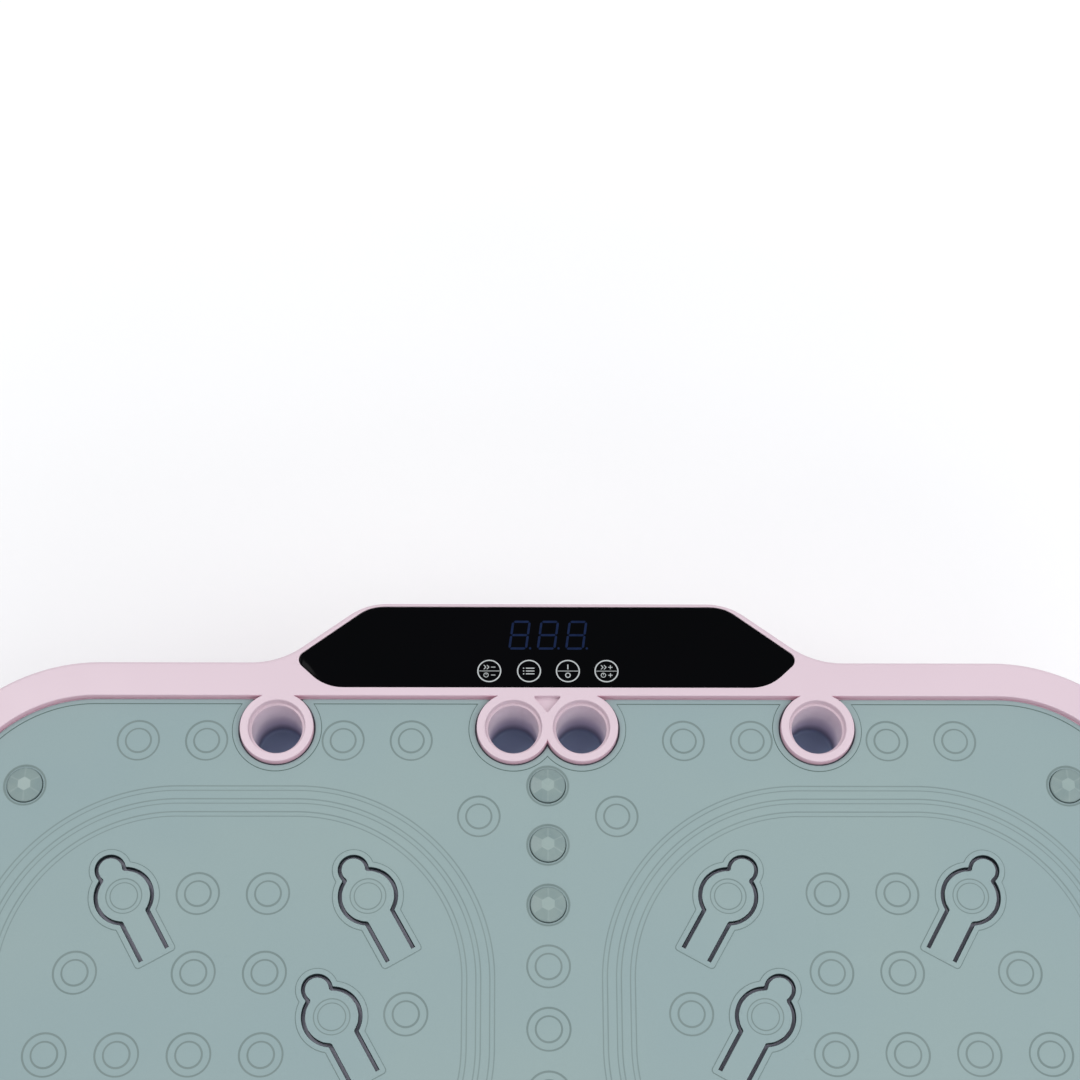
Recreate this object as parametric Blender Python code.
"""Side-alternating vibration plate with push-up sockets.

Frame: metres, +Z up, floor at z = 0, origin under the centre of the overall
box.  X runs along the plate's long side, +Y points to the display end, which
the piece names call the rear.  All dimensions below are millimetres in the
plate's own plan frame, whose origin is the middle of the plain rectangle;
place() shifts them to the box centre.

The plate rocks about a fore-and-aft axis through its middle.  A motor drives
a toothed belt, the belt turns a short eccentric shaft, and a connecting rod
pushes the deck up and down on the +X side of the pivot.
"""
import math

import bmesh
import bpy
from mathutils import Vector

for old_object in list(bpy.data.objects):
    bpy.data.objects.remove(old_object, do_unlink=True)

MM = 0.001
GAP = 0.3                 # running and seating gap between pieces
OVER = 5.0                # how far a cutter runs past the face it opens
BORE_REACH = 80.0         # half length of a through-bore cutter
SMOOTH_ANGLE = math.radians(32)
ENDS = (("front", -1), ("rear", 1))   # name and side along Y

# ---- overall ---------------------------------------------------------------
HALF_W = 279.0            # half the overall width
HALF_D = 158.0            # half the depth of the plain rectangle
CORNER_R = 80.0
BULGE_Y = 186.5           # +Y edge of the display bulge
BULGE_ROOT = (119.3, 38.0)            # x and fillet where the bulge leaves the rectangle
BULGE_SHOULDER = (81.3, 28.0)         # x and fillet at the bulge's outer corner
Y_SHIFT = (HALF_D - BULGE_Y) / 2.0    # plan frame to the middle of the box
TOP_Z = 130.0             # rim top

# ---- levels shared by deck, drive and base ---------------------------------
DECK_PLATE_Z = (83.5, 86.5)
PAN_Z = (13.0, 68.0)
PAN_WALL = 3.0
CHASSIS_BOTTOM = PAN_Z[0] + PAN_WALL + GAP
CHASSIS_Z = (CHASSIS_BOTTOM, CHASSIS_BOTTOM + 3.0)
SEAT_Z = CHASSIS_Z[1] + GAP           # where parts stand on the chassis plate

# ---- axes shared by deck and drive, all parallel to Y ----------------------
PIVOT_Y, PIVOT_Z = 105.0, 58.0
PIVOT_PIN_R = 6.0
CRANK_X, CRANK_Z = 105.0, 45.0
EYE_Z = 65.0              # rod pin and the rod's upper eye


# ---------------------------------------------------------------------------
# materials
# ---------------------------------------------------------------------------
# name: (8-bit sRGB colour, roughness, metallic)
MATERIAL_TABLE = {
    "shell": ((228, 208, 218), 0.38, 0.0),
    "soft": ((155, 175, 175), 0.62, 0.0),
    "lens": ((6, 7, 9), 0.06, 0.0),
    "stone": ((205, 214, 214), 0.15, 0.0),
    "pan": ((222, 203, 213), 0.45, 0.0),
    "foot": ((42, 42, 45), 0.8, 0.0),
    "steel": ((150, 152, 156), 0.35, 1.0),
    "zinc": ((172, 174, 178), 0.32, 1.0),
    "alloy": ((176, 178, 182), 0.4, 1.0),
    "belt": ((28, 28, 30), 0.7, 0.0),
    "board": ((24, 82, 52), 0.5, 0.0),
    "black": ((24, 24, 26), 0.4, 0.0),
    "bronze": ((168, 124, 72), 0.35, 1.0),
    "motor": ((70, 72, 78), 0.45, 1.0),
    "led": ((18, 24, 40), 0.3, 0.0),
}


def linear(channel):
    """Linear value of one 8-bit sRGB channel."""
    value = channel / 255.0
    return value / 12.92 if value <= 0.04045 else ((value + 0.055) / 1.055) ** 2.4


def material(name, colour, roughness, metallic):
    mat = bpy.data.materials.new(name)
    mat.use_nodes = True
    inputs = mat.node_tree.nodes["Principled BSDF"].inputs
    inputs["Base Color"].default_value = (*(linear(channel) for channel in colour), 1.0)
    inputs["Roughness"].default_value = roughness
    inputs["Metallic"].default_value = metallic
    return mat


MATERIALS = {name: material(name, *row) for name, row in MATERIAL_TABLE.items()}


# ---------------------------------------------------------------------------
# plan outlines, counter-clockwise seen from +Z
# ---------------------------------------------------------------------------
def arc(cx, cy, r, start, end, n):
    """n + 1 points of an arc, both ends included."""
    angles = [start + (end - start) * i / n for i in range(n + 1)]
    return [(cx + r * math.cos(a), cy + r * math.sin(a)) for a in angles]


def circle(cx, cy, r, n=24):
    angles = [2 * math.pi * i / n for i in range(n)]
    return [(cx + r * math.cos(a), cy + r * math.sin(a)) for a in angles]


def mirrored(half):
    """Complete a run of +X corners (x, y, r) with its mirror image."""
    return half + [(-x, y, r) for x, y, r in reversed(half)]


def rounded(corners, step=11.25):
    """Polygon whose corners (x, y, r) are filleted, one segment per step degrees or less."""
    out = []
    for i, (x, y, r) in enumerate(corners):
        corner = Vector((x, y))
        back = Vector(corners[i - 1][:2]) - corner
        ahead = Vector(corners[(i + 1) % len(corners)][:2]) - corner
        back.normalize()
        ahead.normalize()
        half = math.acos(back.dot(ahead)) / 2
        turn = math.pi - 2 * half
        cut_back = r / math.tan(half)
        centre = corner + (back + ahead).normalized() * (r / math.sin(half))
        first = corner + back * cut_back - centre
        last = corner + ahead * cut_back - centre
        start = math.atan2(first.y, first.x)
        end = math.atan2(last.y, last.x)
        sweep = (end - start + math.pi) % (2 * math.pi) - math.pi
        n = max(2, int(math.ceil(math.degrees(turn) / step)))
        out += arc(centre.x, centre.y, r, start, start + sweep, n)
    return out


def rounded_box(half_x, half_y, r, step=15.0, cx=0.0, cy=0.0):
    corners = mirrored([(half_x, -half_y, r), (half_x, half_y, r)])
    return [(cx + x, cy + y) for x, y in rounded(corners, step)]


def inset(loop, distance):
    """Move every point of a counter-clockwise loop inwards."""
    out = []
    for i in range(len(loop)):
        before, point, after = (Vector(loop[k % len(loop)]) for k in (i - 1, i, i + 1))
        edge_in = (point - before).normalized()
        edge_out = (after - point).normalized()
        normal_in = Vector((-edge_in.y, edge_in.x))
        normal_out = Vector((-edge_out.y, edge_out.x))
        mitre = (normal_in + normal_out).normalized()
        moved = point + mitre * (distance / mitre.dot(normal_in))
        out.append((moved.x, moved.y))
    return out


def body_outline(distance):
    """Outer plan of the shell, a rounded rectangle with the display bulge, moved inwards."""
    root_x, root_r = BULGE_ROOT
    shoulder_x, shoulder_r = BULGE_SHOULDER
    half = [(HALF_W, -HALF_D, CORNER_R), (HALF_W, HALF_D, CORNER_R),
            (root_x, HALF_D, root_r), (shoulder_x, BULGE_Y, shoulder_r)]
    return inset(rounded(mirrored(half)), distance)


def hull(x0, z0, r0, n0, x1, z1, r1, n1):
    """Outline stretched round two circles, n0 and n1 segments on their arcs."""
    distance = math.hypot(x1 - x0, z1 - z0)
    base = math.atan2(z1 - z0, x1 - x0)
    spread = math.acos((r0 - r1) / distance)
    return (arc(x1, z1, r1, base - spread, base + spread, n1)
            + arc(x0, z0, r0, base + spread, base - spread + 2 * math.pi, n0))


def four_corners(half_x, half_y):
    return [(x, y) for y in (half_y, -half_y) for x in (-half_x, half_x)]


# ---------------------------------------------------------------------------
# solids; "piece" is (name, material, origin) and is left out for a cutter
# ---------------------------------------------------------------------------
def place(ob, origin):
    ob.location = (origin[0] * MM, (origin[1] + Y_SHIFT) * MM, origin[2] * MM)


def shade(mesh):
    mesh.shade_smooth()
    mesh.set_sharp_from_angle(angle=SMOOTH_ANGLE)


def add_object(bm, name):
    """Turn a bmesh into a linked object."""
    mesh = bpy.data.meshes.new(name)
    bm.to_mesh(mesh)
    bm.free()
    ob = bpy.data.objects.new(name, mesh)
    bpy.context.scene.collection.objects.link(ob)
    return ob


def loft(rings, name="cutter", kind=None, origin=(0, 0, 0), closed=False):
    """Join rings of equal length; cap both ends, or close the loft on itself."""
    bm = bmesh.new()
    rows = [[bm.verts.new([(p[k] - origin[k]) * MM for k in range(3)]) for p in ring]
            for ring in rings]
    pairs = list(zip(rows[:-1], rows[1:]))
    if closed:
        pairs.append((rows[-1], rows[0]))
    else:
        bm.faces.new(list(reversed(rows[0])))
        bm.faces.new(rows[-1])
    n = len(rows[0])
    for low, high in pairs:
        for i in range(n):
            j = (i + 1) % n
            bm.faces.new((low[i], low[j], high[j], high[i]))
    bmesh.ops.remove_doubles(bm, verts=bm.verts, dist=1e-7)
    bmesh.ops.recalc_face_normals(bm, faces=bm.faces)
    ob = add_object(bm, name)
    place(ob, origin)
    if kind:
        ob.data.materials.append(MATERIALS[kind])
        shade(ob.data)
    return ob


def prism(loop, z0, z1, *piece):
    return loft([[(x, y, z) for x, y in loop] for z in (z0, z1)], *piece)


def slab_y(loop, y0, y1, *piece):
    """Extrude an (x, z) outline along Y."""
    return loft([[(x, y, z) for x, z in loop] for y in (y0, y1)], *piece)


def slab_x(loop, x0, x1, *piece):
    """Extrude a (y, z) outline along X."""
    return loft([[(x, y, z) for y, z in loop] for x in (x0, x1)], *piece)


def box(x0, x1, y0, y1, z0, z1, *piece):
    return prism([(x0, y0), (x1, y0), (x1, y1), (x0, y1)], z0, z1, *piece)


def ring_y(cx, cz, r, y, n=24):
    """Circle at the station y, facing along Y."""
    return [(x, y, z) for x, z in circle(cx, cz, r, n)]


def turned_y(cx, cz, profile, n=24, *piece):
    """Turn (y, r) about the axis parallel to Y through (cx, cz)."""
    return loft([ring_y(cx, cz, r, y, n) for y, r in profile], *piece)


def turned_z(cx, cy, profile, n=24, *piece):
    """Turn (z, r) about a vertical axis."""
    return loft([[(x, y, z) for x, y in circle(cx, cy, r, n)] for z, r in profile], *piece)


def cylinder_y(cx, cz, r, y0, y1, n=24, *piece):
    return turned_y(cx, cz, [(y0, r), (y1, r)], n, *piece)


def cylinder_z(cx, cy, r, z0, z1, n=24, *piece):
    return turned_z(cx, cy, [(z0, r), (z1, r)], n, *piece)


def boolean(target, operation, tools):
    """Apply exact Booleans in turn and drop the tools."""
    for tool in tools:
        modifier = target.modifiers.new(operation.lower(), "BOOLEAN")
        modifier.operation = operation
        modifier.solver = "EXACT"
        modifier.object = tool
    bpy.context.view_layer.update()
    depsgraph = bpy.context.evaluated_depsgraph_get()
    mesh = bpy.data.meshes.new_from_object(target.evaluated_get(depsgraph))
    mesh.name = target.data.name + "_cut"
    target.modifiers.clear()
    target.data = mesh
    for tool in tools:
        bpy.data.objects.remove(tool, do_unlink=True)
    shade(mesh)


def cut(target, *tools):
    boolean(target, "DIFFERENCE", tools)


def join(target, *tools):
    boolean(target, "UNION", tools)


def bore(target, centre, r, n=24):
    """Bore right through along Y."""
    x, y, z = centre
    cut(target, cylinder_y(x, z, r, y - BORE_REACH, y + BORE_REACH, n))


def merge(parts):
    """Several separate closed tools in one mesh."""
    bm = bmesh.new()
    for ob in parts:
        mesh = ob.data.copy()
        mesh.transform(ob.matrix_basis)
        bm.from_mesh(mesh)
        bpy.data.objects.remove(ob, do_unlink=True)
    return add_object(bm, "merged_tools")


# ---------------------------------------------------------------------------
# deck: shell, display, mat, flaps, stones
# ---------------------------------------------------------------------------
SHELL_WALL = 3.0
SKIRT_Z = 58.0            # lower edge of the moving shell
# (z, inset) up the outside of the shell, easing the rim's outer edge
SHELL_EDGE = [(SKIRT_Z, 0.0), (TOP_Z - 1.6, 0.0), (TOP_Z - 0.47, 0.47), (TOP_Z, 1.6)]
DECK_TOP = 123.7          # floor under the mat
DECK_UNDER = DECK_TOP - SHELL_WALL
OPEN_X, OPEN_Y, OPEN_R = 261.0, 141.8, 61.0   # inner edge of the rim
MAT_X, MAT_Y, MAT_R = 259.5, 140.2, 59.5
MAT_Z0 = DECK_TOP + GAP
MAT_Z1 = MAT_Z0 + 3.0

# open sockets (cups) along the +Y edge, and sockets covered by flaps
SOCKET_PITCH = 104.3
CUP_INNER_X = 15.0
CUP_OUTER_X = CUP_INNER_X + SOCKET_PITCH
CUP_Y = 127.2
CUP_LAND_R = 16.2         # shell land round each open socket
CUP_STEP_R, CUP_STEP_DEPTH = 12.3, 3.5        # wider mouth of an open socket
MAT_CUP_R = 17.2          # mat edge round the land
SOCKET_R = 10.8
SOCKET_OUT_R = SOCKET_R + 2.5
SOCKET_BOTTOM = 97.0      # floor of every socket
SOCKET_WEB = 3.0          # thickness of that floor
SOCKET_FOOT = 87.0        # the tubes run on down to stand over the deck plate
SOCKET_ROOT = 1.5         # how far the tubes run up into the deck
# (x, y) of a three-cornered recess between the two inner sockets and the rim wall
NOTCH = [(-5.0, OPEN_Y - 1.0), (0.0, 134.6), (5.0, OPEN_Y - 1.0)]

# flaps: keyhole tongues, a round body with a smaller round head and a straight tail
FLAP_BODY_R, FLAP_HEAD_R, FLAP_HEAD_AT = 11.2, 5.1, 13.4
FLAP_TAIL_W, FLAP_TAIL_L = 5.3, 29.4          # half width; length from the body centre
BODY_SLIT, HEAD_SLIT = 1.75, 1.55             # slit round body and tail; round the head
FLAP_TILT = math.radians(29.5)                # tail direction against the -Y axis
FLAP_INNER_X = -77.2
FLAP_OUTER_X = FLAP_INNER_X - SOCKET_PITCH
# (x, y) of the flaps on the -X side; the +X side mirrors them
FLAP_AT = [(FLAP_OUTER_X, 51.0), (FLAP_INNER_X, 51.0), (-91.0, -1.2),
           (FLAP_OUTER_X, -53.4), (FLAP_INNER_X, -53.4)]

STONE_R = 7.6
STONE_CLEARANCE = 0.35
STONE_AT = [(0.0, y) for y in (100.8, 74.0, 47.2, -60.0, -86.8, -113.5)]
STONE_AT += four_corners(228.0, 101.0)
# (z, r) of a stone, proud of the mat with a faceted crown
STONE_PROFILE = [(MAT_Z0, STONE_R), (MAT_Z1 - 0.2, STONE_R), (MAT_Z1 + 1.2, 6.2),
                 (MAT_Z1 + 2.0, 3.3)]

# display: (x, y, fillet) of the lens corners
LENS = mirrored([(98.5, 145.9, 20.0), (112.6, 159.3, 4.0), (79.5, 184.4, 18.0)])
LENS_THICK = 2.5
LENS_SEAT_Z = TOP_Z - LENS_THICK - GAP
LENS_CLEARANCE = GAP + 0.05
LED_Y, LED_BOTTOM = 170.8, 119.0
LED_HALF = (19.0, 9.5)
WINDOW_HALF = (20.0, 10.2)
DISPLAY_BOARD_Y, DISPLAY_BOARD_Z = 164.5, (117.0, 118.6)


def scalloped(x, y, r, cup_r):
    """Rounded rectangle whose +Y edge runs round the four open sockets."""
    def corner(side_x, side_y, start):
        return arc(side_x * (x - r), side_y * (y - r), r, start, start + 0.5 * math.pi, 8)

    def cup(cx, start, end, n):
        return arc(cx, CUP_Y, cup_r, start, end, n)

    mouth_right = math.asin((y - CUP_Y) / cup_r)   # where a circle meets the +Y edge
    mouth_left = -math.pi - mouth_right
    # the inner circles meet on the centre line; the angle is seen from the right one
    meet = math.atan2(-math.sqrt(cup_r ** 2 - CUP_INNER_X ** 2), -CUP_INNER_X)
    path = cup(CUP_OUTER_X, mouth_right, mouth_left, 16)
    path += cup(CUP_INNER_X, mouth_right, meet, 9)
    path += cup(-CUP_INNER_X, -math.pi - meet, mouth_left, 9)[1:]
    path += cup(-CUP_OUTER_X, mouth_right, mouth_left, 16)
    return (corner(-1, -1, math.pi) + corner(1, -1, 1.5 * math.pi) + corner(1, 1, 0.0)
            + path + corner(-1, 1, 0.5 * math.pi))


def flap_outline(body_r, head_r, tail_w, tail_l):
    """Keyhole outline along +x: head at +x, tail at -x, body centre at 0."""
    head_x = FLAP_HEAD_AT
    join_x = (head_x ** 2 + body_r ** 2 - head_r ** 2) / (2 * head_x)
    join_y = math.sqrt(body_r ** 2 - join_x ** 2)
    head_angle = math.atan2(join_y, join_x - head_x)
    join_angle = math.atan2(join_y, join_x)
    tail_angle = math.pi - math.asin(tail_w / body_r)
    return ([(-tail_l, -tail_w)]
            + arc(0, 0, body_r, -tail_angle, -join_angle, 6)
            + arc(head_x, 0, head_r, -head_angle, head_angle, 6)[1:-1]
            + arc(0, 0, body_r, join_angle, tail_angle, 6)
            + [(-tail_l, tail_w)])


def flap_places():
    """Centre and head direction of the ten flaps: five a side, mirrored."""
    return [((-side * x, y), (side * math.sin(FLAP_TILT), math.cos(FLAP_TILT)))
            for side in (-1, 1) for x, y in FLAP_AT]


def turn_to(loop, centre, direction):
    """Swing a loop's +x axis to the direction and move it to the centre."""
    dx, dy = direction
    return [(centre[0] + x * dx - y * dy, centre[1] + x * dy + y * dx) for x, y in loop]


def socket_tools():
    """Tubes to add under the deck, and the bores above and below each socket floor."""
    open_at = [(x, CUP_Y) for x in (-CUP_OUTER_X, -CUP_INNER_X, CUP_INNER_X, CUP_OUTER_X)]
    covered_at = [centre for centre, _ in flap_places()]
    tubes, holes = [], []
    for x, y in open_at + covered_at:
        tubes.append(cylinder_z(x, y, SOCKET_OUT_R, SOCKET_FOOT, DECK_UNDER + SOCKET_ROOT, 16))
        holes.append(cylinder_z(x, y, SOCKET_R, SOCKET_FOOT - OVER,
                                SOCKET_BOTTOM - SOCKET_WEB, 16))
    step_z = TOP_Z - CUP_STEP_DEPTH
    for x, y in open_at:
        holes.append(turned_z(x, y, [(SOCKET_BOTTOM, SOCKET_R), (step_z, SOCKET_R),
                                     (step_z, CUP_STEP_R), (TOP_Z + OVER, CUP_STEP_R)], 24))
    for x, y in covered_at:
        holes.append(cylinder_z(x, y, SOCKET_R, SOCKET_BOTTOM, DECK_TOP + OVER, 16))
    return merge(tubes), merge(holes)


def build_top_shell():
    shell = loft([[(x, y, z) for x, y in body_outline(d)] for z, d in SHELL_EDGE],
                 "top_shell", "shell")
    hollow = prism(body_outline(SHELL_WALL), SKIRT_Z - OVER, DECK_UNDER)
    recess = prism(scalloped(OPEN_X, OPEN_Y, OPEN_R, CUP_LAND_R), DECK_TOP, TOP_Z + OVER)
    cut(shell, hollow, recess)
    tubes, holes = socket_tools()
    join(shell, tubes)
    notch = prism(NOTCH, DECK_TOP, TOP_Z + OVER)
    seat = prism(rounded([(x, y, r + GAP) for x, y, r in LENS]), LENS_SEAT_Z, TOP_Z + OVER)
    half_x, half_y = WINDOW_HALF
    window = box(-half_x, half_x, LED_Y - half_y, LED_Y + half_y, DECK_UNDER - OVER, TOP_Z)
    cut(shell, holes, notch, seat, window)


def build_display():
    prism(inset(rounded(LENS), LENS_CLEARANCE), TOP_Z - LENS_THICK, TOP_Z,
          "display_lens", "lens")
    half_x, half_y = LED_HALF
    box(-half_x, half_x, LED_Y - half_y, LED_Y + half_y, LED_BOTTOM, LENS_SEAT_Z - GAP,
        "led_module", "led")
    prism(rounded_box(62, 16, 3, step=30, cy=DISPLAY_BOARD_Y), *DISPLAY_BOARD_Z,
          "display_board", "board")


def build_mat():
    mat = prism(scalloped(MAT_X, MAT_Y, MAT_R, MAT_CUP_R), MAT_Z0, MAT_Z1, "mat", "soft")
    bottom, top = MAT_Z0 - OVER, MAT_Z1 + OVER
    hole = flap_outline(FLAP_BODY_R + BODY_SLIT, FLAP_HEAD_R + HEAD_SLIT,
                        FLAP_TAIL_W + BODY_SLIT, FLAP_TAIL_L)
    cutters = [prism(turn_to(hole, *at), bottom, top) for at in flap_places()]
    cutters += [cylinder_z(x, y, STONE_R + STONE_CLEARANCE, bottom, top, 16)
                for x, y in STONE_AT]
    cut(mat, merge(cutters))


def build_flaps():
    """Each flap's origin is the middle of its tail end, on the mat's top face."""
    outline = flap_outline(FLAP_BODY_R, FLAP_HEAD_R, FLAP_TAIL_W, FLAP_TAIL_L - GAP)
    for i, (centre, (dx, dy)) in enumerate(flap_places(), 1):
        hinge = (centre[0] - dx * FLAP_TAIL_L, centre[1] - dy * FLAP_TAIL_L, MAT_Z1)
        prism(turn_to(outline, centre, (dx, dy)), MAT_Z0, MAT_Z1, f"flap_{i}", "soft", hinge)


def build_stones():
    for i, (x, y) in enumerate(STONE_AT, 1):
        turned_z(x, y, STONE_PROFILE, 16, f"stone_{i}", "stone", (x, y, MAT_Z0))


# ---------------------------------------------------------------------------
# under the deck: plate, brackets and pins
# ---------------------------------------------------------------------------
ROD_PIN_R, ROD_PIN_HALF = 2.5, 15.0
PIVOT_PIN_CHAMFER_R = 5.2
PIVOT_PIN_HALF, PIVOT_PIN_STRAIGHT = 17.5, 16.7   # to the end, and to the chamfer


def channel_bracket(name, axis, outer, inner, bottom, web, half_length, bore_r, n):
    """Channel open downwards under the deck plate, bored through at the axis."""
    x, y, _ = axis
    top = DECK_PLATE_Z[0] - GAP
    outline = [(y - outer, top), (y - outer, bottom), (y - inner, bottom),
               (y - inner, top - web), (y + inner, top - web), (y + inner, bottom),
               (y + outer, bottom), (y + outer, top)]
    bracket = slab_x(outline, x - half_length, x + half_length, name, "zinc", axis)
    bore(bracket, axis, bore_r, n)


def build_deck_frame():
    prism(rounded_box(240, 128, 40), *DECK_PLATE_Z, "deck_plate", "steel")
    for end, side in ENDS:
        y = side * PIVOT_Y
        axis = (0, y, PIVOT_Z)
        channel_bracket("pivot_bracket_" + end, axis, outer=14, inner=11, bottom=47, web=3.0,
                        half_length=15, bore_r=PIVOT_PIN_R + GAP, n=24)
        profile = [(y - PIVOT_PIN_HALF, PIVOT_PIN_CHAMFER_R),
                   (y - PIVOT_PIN_STRAIGHT, PIVOT_PIN_R),
                   (y + PIVOT_PIN_STRAIGHT, PIVOT_PIN_R),
                   (y + PIVOT_PIN_HALF, PIVOT_PIN_CHAMFER_R)]
        turned_y(0, PIVOT_Z, profile, 24, "pivot_pin_" + end, "steel", axis)
    axis = (CRANK_X, 0, EYE_Z)
    channel_bracket("rod_bracket", axis, outer=12, inner=9, bottom=57, web=2.5,
                    half_length=9, bore_r=ROD_PIN_R + GAP, n=16)
    cylinder_y(CRANK_X, EYE_Z, ROD_PIN_R, -ROD_PIN_HALF, ROD_PIN_HALF, 16,
               "rod_pin", "steel", axis)


# ---------------------------------------------------------------------------
# drive
# ---------------------------------------------------------------------------
THROW = 2.0               # eccentricity: the deck rises and falls by this much at the rod
CRANK_AXIS = (CRANK_X, 0, CRANK_Z)
ECC_AXIS = (CRANK_X + THROW, 0, CRANK_Z)
SHAFT_R, SHAFT_Y = 5.0, (-35, 54)
ECC_R, ECC_HALF = 7.3, 6.5            # eccentric: radius and half length
BEARING_R, BEARING_HALF = 9.2, 5.0
ROD_BIG_R, ROD_SMALL_R, ROD_HALF = 13.0, 10.5, 4.8
ROD_EYE_BORE_R = 7.1
CRANK_BLOCK_Y = 25.0
BLOCK_EDGE = 7.0          # height of the outer edge of a block's foot

MOTOR_X, MOTOR_Z = -70.0, 49.0
MOTOR_AXIS = (MOTOR_X, 0, MOTOR_Z)
MOTOR_R = 28.0
# (y, r) of the motor body, with a short boss at each end
MOTOR_PROFILE = [(-78, 9), (-75, 10), (-75, 24), (-72, MOTOR_R),
                 (19, MOTOR_R), (22, 25), (22, 9), (25.5, 9)]
MOTOR_SHAFT_R, MOTOR_SHAFT_Y = 4.0, (-1, 54)
MOTOR_BORE_Y = (-2, 40)
# (y, z) of the L-shaped motor bracket
MOTOR_BRACKET = [(26, SEAT_Z), (58, SEAT_Z), (58, SEAT_Z + 3), (29, SEAT_Z + 3),
                 (29, 78), (26, 78)]
MOTOR_BRACKET_HALF, MOTOR_BRACKET_BORE_R = 30.0, 6.0

TOOTH_PITCH = 3.0
MOTOR_TEETH, CRANK_TEETH = 16, 48
TIP_DROP = 0.35           # pulley tips below the pitch circle
GROOVE_DEPTH = 1.0
CRANK_PULLEY_Y, MOTOR_PULLEY_Y = (40, 50), (39.5, 50.5)
HUB_R, HUB_Y = 11.0, (36, 49)
FLANGE_R = 10.0
FLANGES_Y = ((37.5, 39.7), (50.3, 52.5))      # motor pulley flanges
BELT_Y, BELT_THICK = (41.0, 49.0), 1.6


def pitch_radius(teeth):
    return teeth * TOOTH_PITCH / (2 * math.pi)


def toothed(cx, cz, teeth):
    """Pulley outline with one shallow V groove a tooth."""
    points = []
    for i in range(2 * teeth):
        r = pitch_radius(teeth) - TIP_DROP - GROOVE_DEPTH * (i % 2)
        angle = math.pi * i / teeth
        points.append((cx + r * math.cos(angle), cz + r * math.sin(angle)))
    return points


def bearing_block(name, axis, foot, shoulder, rise, cap_r, half_y, bore_r):
    """Block on the chassis: a foot, sloping to its shoulders, under a round cap."""
    x, y, z = axis
    outline = [(x - foot, SEAT_Z), (x + foot, SEAT_Z), (x + foot, SEAT_Z + BLOCK_EDGE),
               (x + shoulder, SEAT_Z + rise)]
    outline += arc(x, z, cap_r, 0.0, math.pi, 12)
    outline += [(x - shoulder, SEAT_Z + rise), (x - foot, SEAT_Z + BLOCK_EDGE)]
    block = slab_y(outline, y - half_y, y + half_y, name, "alloy", axis)
    bore(block, axis, bore_r)


def build_blocks():
    for end, side in ENDS:
        bearing_block("crank_block_" + end, (CRANK_X, side * CRANK_BLOCK_Y, CRANK_Z), foot=24,
                      shoulder=15, rise=9, cap_r=15, half_y=5.5, bore_r=SHAFT_R + GAP)
        bearing_block("pivot_block_" + end, (0, side * PIVOT_Y, PIVOT_Z), foot=30,
                      shoulder=20, rise=10, cap_r=13, half_y=6, bore_r=PIVOT_PIN_R + GAP)


def build_crank():
    # (x, r, y) along the shaft, with the eccentric in the middle
    stations = [(CRANK_X, SHAFT_R, SHAFT_Y[0]), (CRANK_X, SHAFT_R, -ECC_HALF),
                (ECC_AXIS[0], ECC_R, -ECC_HALF), (ECC_AXIS[0], ECC_R, ECC_HALF),
                (CRANK_X, SHAFT_R, ECC_HALF), (CRANK_X, SHAFT_R, SHAFT_Y[1])]
    loft([ring_y(x, CRANK_Z, r, y) for x, r, y in stations],
         "crank_shaft", "steel", CRANK_AXIS)
    pulley = slab_y(toothed(CRANK_X, CRANK_Z, CRANK_TEETH), *CRANK_PULLEY_Y,
                    "crank_pulley", "alloy", CRANK_AXIS)
    join(pulley, cylinder_y(CRANK_X, CRANK_Z, HUB_R, *HUB_Y))
    bore(pulley, CRANK_AXIS, SHAFT_R + GAP)


def build_rod():
    """Upright rod over the eccentric; its eye stands THROW to the +X side of the rod pin."""
    x = ECC_AXIS[0]
    bearing = cylinder_y(x, CRANK_Z, BEARING_R, -BEARING_HALF, BEARING_HALF, 24,
                         "rod_bearing", "bronze", ECC_AXIS)
    bore(bearing, ECC_AXIS, ECC_R + GAP)
    outline = hull(x, CRANK_Z, ROD_BIG_R, 16, x, EYE_Z, ROD_SMALL_R, 12)
    rod = slab_y(outline, -ROD_HALF, ROD_HALF, "connecting_rod", "alloy", ECC_AXIS)
    bore(rod, ECC_AXIS, BEARING_R + GAP)
    bore(rod, (x, 0, EYE_Z), ROD_EYE_BORE_R)


def build_motor():
    body = turned_y(MOTOR_X, MOTOR_Z, MOTOR_PROFILE, 24, "motor_body", "motor", MOTOR_AXIS)
    cut(body, cylinder_y(MOTOR_X, MOTOR_Z, MOTOR_SHAFT_R + GAP, *MOTOR_BORE_Y, 20))
    cylinder_y(MOTOR_X, MOTOR_Z, MOTOR_SHAFT_R, *MOTOR_SHAFT_Y, 20,
               "motor_shaft", "steel", MOTOR_AXIS)
    pulley = slab_y(toothed(MOTOR_X, MOTOR_Z, MOTOR_TEETH), *MOTOR_PULLEY_Y,
                    "motor_pulley", "alloy", MOTOR_AXIS)
    join(pulley, *[cylinder_y(MOTOR_X, MOTOR_Z, FLANGE_R, *span) for span in FLANGES_Y])
    bore(pulley, MOTOR_AXIS, MOTOR_SHAFT_R + GAP, 20)
    bracket = slab_x(MOTOR_BRACKET, MOTOR_X - MOTOR_BRACKET_HALF,
                     MOTOR_X + MOTOR_BRACKET_HALF, "motor_bracket", "zinc")
    bore(bracket, MOTOR_AXIS, MOTOR_BRACKET_BORE_R, 20)


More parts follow.
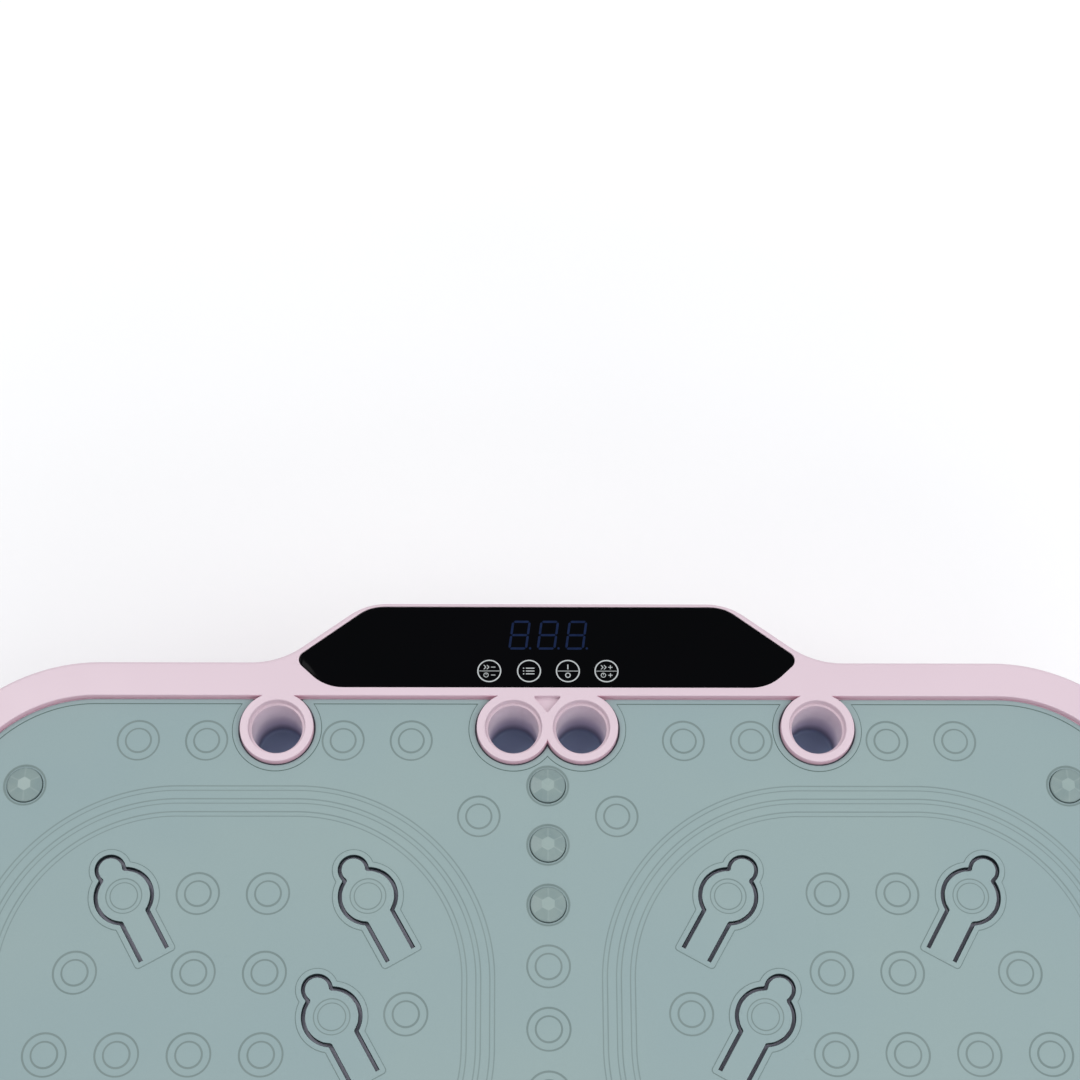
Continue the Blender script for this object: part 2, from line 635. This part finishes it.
def build_belt():
    """Open belt round the two pulleys."""
    inner, outer = [hull(MOTOR_X, MOTOR_Z, pitch_radius(MOTOR_TEETH) + extra, 16,
                         CRANK_X, CRANK_Z, pitch_radius(CRANK_TEETH) + extra, 16)
                    for extra in (0.0, BELT_THICK)]
    y0, y1 = BELT_Y
    rings = [[(x, y, z) for x, z in loop]
             for loop, y in ((inner, y0), (outer, y0), (outer, y1), (inner, y1))]
    loft(rings, "drive_belt", "belt", closed=True)


# ---------------------------------------------------------------------------
# base
# ---------------------------------------------------------------------------
PAN_INSET = 8.0           # pan wall inside the shell's outline
PAN_CHAMFER = 3.0
FOOT_AT = four_corners(200.0, 105.0)
# (z, r) of a rubber-coloured foot
FOOT_PROFILE = [(0, 21.5), (1.2, 22.5), (5, 22.5), (9, 19), (PAN_Z[0] - GAP, 18)]
WELL_R, WELL_TOP = 7.5, 5.0           # recess for the bolt head
BOLT_R = 3.0
BOLT_PROFILE = [(1.2, 4.6), (2.0, 6.0), (4.6, 6.0), (4.6, BOLT_R), (24, BOLT_R)]

# inlet and switch in the +Y wall of the pan; halves are along x and z
PANEL_Y = BULGE_Y - PAN_INSET         # outer face of that wall
PANEL_Z = 38.0
FLANGE_THICK = 2.0
INLET_X, INLET_HALF = -30.0, (14.0, 10.0)
# (x, z) of the inlet pocket from its centre
INLET_POCKET = [(-11.5, -7.5), (11.5, -7.5), (11.5, 3.0), (7.5, 7.5), (-7.5, 7.5), (-11.5, 3.0)]
POCKET_DEPTH = 16.0
BLADE_AT = [(-7, -2.5), (0, 1.5), (7, -2.5)]
BLADE_HALF, BLADE_DEPTHS = (1.0, 2.0), (18.0, 3.0)
SWITCH_X, SWITCH_HALF = 26.0, (9.0, 13.0)
SWITCH_DEPTH = 14.0
BEZEL_OPEN_HALF = (7.2, 10.8)
ROCKER_HALF, ROCKER_DEPTH = 6.8, 5.0  # half width; axis behind the wall face
ROCKER_TILT = math.radians(7.0)
# (y, z) of the rocker about its axis, before tilting
ROCKER = [(5.5, -9.3), (9.2, -9.3), (6.6, 0.0), (9.2, 9.3), (5.5, 9.3),
          (0.0, 6.5), (-4.0, 3.0), (-4.0, -3.0), (0.0, -6.5)]

BOARD_X, BOARD_Y, BOARD_Z = (152, 236), (-52, 48), (28.0, 29.6)
POST_INSET, POST_R, POST_TOP = 5, 3.0, 28.8
PARTS_Z = 29.0            # the parts start inside the board's thickness
# (x0, x1, y0, y1, top) of the box-shaped parts
BOARD_BOXES = [(160, 200, -40, -20, 47.0), (206, 226, -42, -22, 45.0), (206, 230, 2, 30, 38.0)]
CAN_X, CAN_Y, CAN_R, CAN_TOP = (172, 194), 10, 8.0, 49.0   # the two round parts


def bolt_holes(z0, z1):
    return [cylinder_z(x, y, BOLT_R + GAP, z0 - OVER, z1 + OVER, 12) for x, y in FOOT_AT]


def panel_box(x, half, y0, y1, *piece, z=PANEL_Z, clearance=0.0):
    half_x, half_z = (h + clearance for h in half)
    return box(x - half_x, x + half_x, y0, y1, z - half_z, z + half_z, *piece)


def panel_body(name, x, half, depth, flange_size):
    """Body through the wall with a rounded flange (half x, half z, fillet) outside."""
    body = panel_box(x, half, PANEL_Y - depth, PANEL_Y + 1, name, "black")
    loop = rounded_box(*flange_size, step=30, cx=x, cy=PANEL_Z)
    join(body, slab_y(loop, PANEL_Y + GAP, PANEL_Y + GAP + FLANGE_THICK))
    return body


def build_pan():
    low, high = PAN_Z
    edge = ((low, PAN_INSET + PAN_CHAMFER), (low + PAN_CHAMFER, PAN_INSET), (high, PAN_INSET))
    pan = loft([[(x, y, z) for x, y in body_outline(d)] for z, d in edge], "base_pan", "pan")
    cut(pan, prism(body_outline(PAN_INSET + PAN_WALL), low + PAN_WALL, high + OVER))
    openings = [panel_box(x, half, PANEL_Y - PAN_WALL - OVER, PANEL_Y + OVER, clearance=GAP)
                for x, half in ((INLET_X, INLET_HALF), (SWITCH_X, SWITCH_HALF))]
    cut(pan, merge(openings + bolt_holes(low, low + PAN_WALL)))


def build_chassis():
    chassis = prism(rounded_box(245, 130, 30), *CHASSIS_Z, "chassis_plate", "steel")
    cut(chassis, merge(bolt_holes(*CHASSIS_Z)))


def build_feet():
    for i, (x, y) in enumerate(FOOT_AT, 1):
        at = (x, y, 0.0)
        foot = turned_z(x, y, FOOT_PROFILE, 20, f"foot_{i}", "foot", at)
        well = cylinder_z(x, y, WELL_R, -OVER, WELL_TOP, 14)
        hole = cylinder_z(x, y, BOLT_R + GAP, WELL_TOP - 2, PAN_Z[0] + OVER, 12)
        cut(foot, well, hole)
        turned_z(x, y, BOLT_PROFILE, 12, f"foot_bolt_{i}", "steel", at)


def build_inlet():
    """Mains inlet: a pocket with three blades."""
    inlet = panel_body("power_inlet", INLET_X, INLET_HALF, 24, (18, 13, 4))
    loop = [(INLET_X + x, PANEL_Z + z) for x, z in INLET_POCKET]
    cut(inlet, slab_y(loop, PANEL_Y - POCKET_DEPTH, PANEL_Y + OVER))
    deep, shallow = BLADE_DEPTHS
    join(inlet, merge([panel_box(INLET_X + x, BLADE_HALF, PANEL_Y - deep, PANEL_Y - shallow,
                                 z=PANEL_Z + z) for x, z in BLADE_AT]))


def build_switch():
    """A frame through the wall, and the rocker tilted about an axis along X."""
    bezel = panel_body("switch_bezel", SWITCH_X, SWITCH_HALF, SWITCH_DEPTH, (11.5, 15.5, 2.5))
    cut(bezel, panel_box(SWITCH_X, BEZEL_OPEN_HALF, PANEL_Y - SWITCH_DEPTH - OVER,
                         PANEL_Y + OVER))
    axis = (SWITCH_X, PANEL_Y - ROCKER_DEPTH, PANEL_Z)
    tilt = (math.cos(ROCKER_TILT), math.sin(ROCKER_TILT))
    slab_x(turn_to(ROCKER, axis[1:], tilt), SWITCH_X - ROCKER_HALF, SWITCH_X + ROCKER_HALF,
           "rocker_switch", "black", axis)


def build_control_board():
    """Board on four posts, with its heat sink, relay and capacitors."""
    board = box(*BOARD_X, *BOARD_Y, *BOARD_Z, "control_board", "board")
    parts = [cylinder_z(x, y, POST_R, SEAT_Z, POST_TOP, 12)
             for x in (BOARD_X[0] + POST_INSET, BOARD_X[1] - POST_INSET)
             for y in (BOARD_Y[0] + POST_INSET, BOARD_Y[1] - POST_INSET)]
    parts += [box(x0, x1, y0, y1, PARTS_Z, top) for x0, x1, y0, y1, top in BOARD_BOXES]
    parts += [cylinder_z(x, CAN_Y, CAN_R, PARTS_Z, CAN_TOP, 16) for x in CAN_X]
    join(board, merge(parts))


for build in (build_top_shell, build_display, build_mat, build_flaps, build_stones,
              build_deck_frame, build_crank, build_rod, build_blocks, build_motor, build_belt,
              build_pan, build_chassis, build_feet, build_inlet, build_switch,
              build_control_board):
    build()
bpy.context.view_layer.update()
